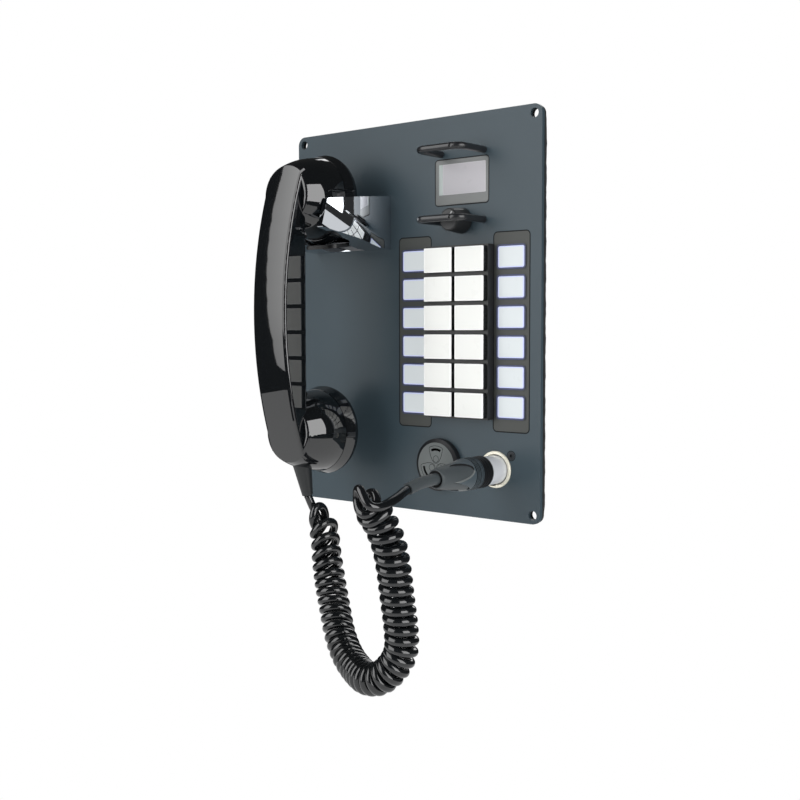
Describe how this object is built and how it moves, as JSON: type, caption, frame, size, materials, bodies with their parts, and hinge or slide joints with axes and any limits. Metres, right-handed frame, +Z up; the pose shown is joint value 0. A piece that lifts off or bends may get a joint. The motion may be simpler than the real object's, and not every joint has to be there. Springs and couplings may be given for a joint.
{
  "type": "intercom handset station",
  "caption": "Panel-mount intercom station with a corded handset on a chrome cradle, columns of lens keys, lit legend strips, a small display and a guarded volume knob",
  "frame": {"origin": "middle of the four fixing holes, on the front face of the panel", "axes": "+Z up along the panel's long side, +X to the right seen from the front, +Y back through the panel"},
  "size_m": [0.21, 0.1706, 0.3643],
  "materials": {
    "panel_paint": "satin paint",
    "gasket_rubber": "matte",
    "tray_steel": "zinc plated sheet",
    "screw_zinc": "zinc plated",
    "frame_black": "fine texture",
    "key_body": "black carrier under a pale lens",
    "bezel_print": "printed sheet",
    "legend_lens": "diffusing lens",
    "display_glass": "anti-glare window",
    "module_black": "moulded",
    "guard_black": "black powder coat",
    "knob_black": "moulded",
    "pot_metal": "plain",
    "cradle_chrome": "mirror polish",
    "lever_black": "moulded",
    "spring_steel": "drawn wire",
    "handset_black": "polished moulding",
    "capsule_metal": "plain",
    "sounder_grey": "satin",
    "socket_nickel": "warm nickel",
    "plug_silver": "nickel",
    "collar_black": "ribbed",
    "boot_rubber": "matte",
    "insert_black": "moulded",
    "circuit_board": "solder resist",
    "cord_black": "cord jacket"
  },
  "bodies": {
    "station": {"board_screws": "screw_zinc", "cord_coil": "cord_black", "cord_handset_end": "cord_black", "cord_plug_end": "cord_black", "cradle_body": "cradle_chrome", "cradle_screws": "screw_zinc", "display_guard": "guard_black", "display_module": "module_black", "display_window": "display_glass", "front_panel": "panel_paint", "guard_screws": "screw_zinc", "hook_bracket": "tray_steel", "hook_pin": "pot_metal", "hook_spring": "spring_steel", "hook_switch": "module_black", "key_board": "circuit_board", "key_frame": "frame_black", "knob_guard": "guard_black", "label_bezels": "bezel_print", "legend_displays": "legend_lens", "main_board": "circuit_board", "panel_gasket": "gasket_rubber", "plug_backshell": "plug_silver", "plug_boot": "boot_rubber", "plug_collar": "collar_black", "plug_shell": "plug_silver", "plug_sleeve": "boot_rubber", "pot_nut": "screw_zinc", "rear_cover": "tray_steel", "rear_cover_screws": "screw_zinc", "rear_tray": "tray_steel", "socket_insert": "insert_black", "socket_screws": "screw_zinc", "socket_shell": "socket_nickel", "sounder_body": "module_black", "sounder_cap": "sounder_grey", "tray_nuts": "screw_zinc", "volume_pot": "pot_metal"},
    "knob": {"volume_knob": "knob_black", "pot_shaft": "pot_metal"},
    "handset": {"handset_body": "handset_black", "ear_cap": "handset_black", "mouth_cap": "handset_black", "receiver_capsule": "capsule_metal", "transmitter_capsule": "capsule_metal", "handset_relief": "boot_rubber"},
    "hook": {"hook_lever": "lever_black"},
    "latch": {"plug_latch": "insert_black"},
    "key_01": {"key_01": "key_body"},
    "key_02": {"key_02": "key_body"},
    "key_03": {"key_03": "key_body"},
    "key_04": {"key_04": "key_body"},
    "key_05": {"key_05": "key_body"},
    "key_06": {"key_06": "key_body"},
    "key_07": {"key_07": "key_body"},
    "key_08": {"key_08": "key_body"},
    "key_09": {"key_09": "key_body"},
    "key_10": {"key_10": "key_body"},
    "key_11": {"key_11": "key_body"},
    "key_12": {"key_12": "key_body"}
  },
  "joints": [
    {"name": "volume_turn", "type": "hinge", "parent": "station", "child": "knob", "pos_m": [0.0437, 0, 0.0624], "axis": [0, 1, 0], "range_deg": [-150, 150]},
    {"name": "handset_lift", "type": "slide", "parent": "station", "child": "handset", "axis": [0, 0, 1], "range_m": [0, 0.07]},
    {"name": "hook_swing", "type": "hinge", "parent": "station", "child": "hook", "pos_m": [-0.0525, 0.014, 0.05446], "axis": [-1, 0, 0], "range_deg": [0, 8]},
    {"name": "latch_press", "type": "slide", "parent": "station", "child": "latch", "axis": [0, 0, 1], "range_m": [0, 0.0008], "stiffness_N_per_m": 800},
    {"name": "key_01_press", "type": "slide", "parent": "station", "child": "key_01", "axis": [0, 1, 0], "range_m": [0, 0.002], "stiffness_N_per_m": 600},
    {"name": "key_02_press", "type": "slide", "parent": "station", "child": "key_02", "axis": [0, 1, 0], "range_m": [0, 0.002], "stiffness_N_per_m": 600},
    {"name": "key_03_press", "type": "slide", "parent": "station", "child": "key_03", "axis": [0, 1, 0], "range_m": [0, 0.002], "stiffness_N_per_m": 600},
    {"name": "key_04_press", "type": "slide", "parent": "station", "child": "key_04", "axis": [0, 1, 0], "range_m": [0, 0.002], "stiffness_N_per_m": 600},
    {"name": "key_05_press", "type": "slide", "parent": "station", "child": "key_05", "axis": [0, 1, 0], "range_m": [0, 0.002], "stiffness_N_per_m": 600},
    {"name": "key_06_press", "type": "slide", "parent": "station", "child": "key_06", "axis": [0, 1, 0], "range_m": [0, 0.002], "stiffness_N_per_m": 600},
    {"name": "key_07_press", "type": "slide", "parent": "station", "child": "key_07", "axis": [0, 1, 0], "range_m": [0, 0.002], "stiffness_N_per_m": 600},
    {"name": "key_08_press", "type": "slide", "parent": "station", "child": "key_08", "axis": [0, 1, 0], "range_m": [0, 0.002], "stiffness_N_per_m": 600},
    {"name": "key_09_press", "type": "slide", "parent": "station", "child": "key_09", "axis": [0, 1, 0], "range_m": [0, 0.002], "stiffness_N_per_m": 600},
    {"name": "key_10_press", "type": "slide", "parent": "station", "child": "key_10", "axis": [0, 1, 0], "range_m": [0, 0.002], "stiffness_N_per_m": 600},
    {"name": "key_11_press", "type": "slide", "parent": "station", "child": "key_11", "axis": [0, 1, 0], "range_m": [0, 0.002], "stiffness_N_per_m": 600},
    {"name": "key_12_press", "type": "slide", "parent": "station", "child": "key_12", "axis": [0, 1, 0], "range_m": [0, 0.002], "stiffness_N_per_m": 600}
  ],
  "couplings": [
    {"joint": "hook_swing", "follows": "handset_lift", "rad_per_m": 1.99}
  ]
}
